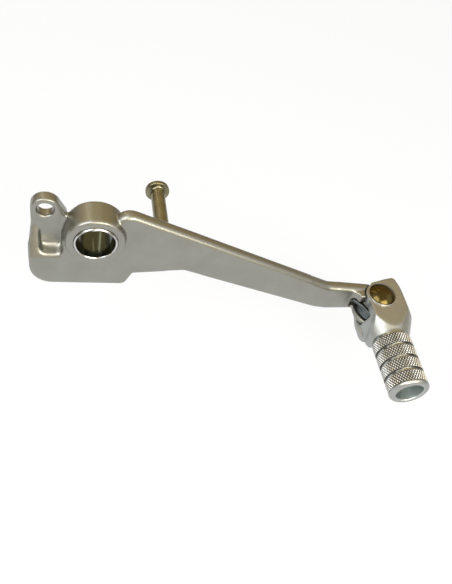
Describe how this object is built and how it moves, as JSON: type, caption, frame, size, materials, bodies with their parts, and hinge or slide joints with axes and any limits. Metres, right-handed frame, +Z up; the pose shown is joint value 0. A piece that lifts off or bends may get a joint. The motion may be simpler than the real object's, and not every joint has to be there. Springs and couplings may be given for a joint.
{
  "type": "motorcycle rear brake pedal",
  "caption": "Right-hand motorcycle rear brake pedal: forged lever with bushed pivot, rear rod eye, headed spring post and a sprung folding toe peg with a knurled barrel.",
  "frame": {"origin": "centre of the pivot bore, midway along the bush", "axes": "+X forward to the toe, +Y inboard towards the engine, +Z up"},
  "size_m": [0.2276, 0.1128, 0.085],
  "materials": {
    "satin_alloy": "satin, bead blasted and clear anodised",
    "bush_steel": "ground and polished bore",
    "post_steel": "turned, yellowish zinc passivate",
    "peg_alloy": "satin, knurled barrel",
    "gold_zinc": "glossy gold zinc plate",
    "washer_zinc": "bright zinc plate",
    "spring_steel": "dark oiled spring wire"
  },
  "bodies": {
    "lever": {"lever": "satin_alloy", "pivot_bush": "bush_steel", "spring_post": "post_steel", "peg_spring": "spring_steel"},
    "peg": {"toe_peg": "peg_alloy", "peg_pin": "gold_zinc", "pin_washer": "washer_zinc"}
  },
  "joints": [
    {"name": "peg_fold", "type": "hinge", "parent": "lever", "child": "peg", "pos_m": [0.175, -0.007, -0.052], "axis": [0, 0, 1], "range_deg": [-24, 0], "stiffness_Nm_per_rad": 0.3, "springref_deg": 11.46, "deforming": ["peg_spring"]}
  ]
}
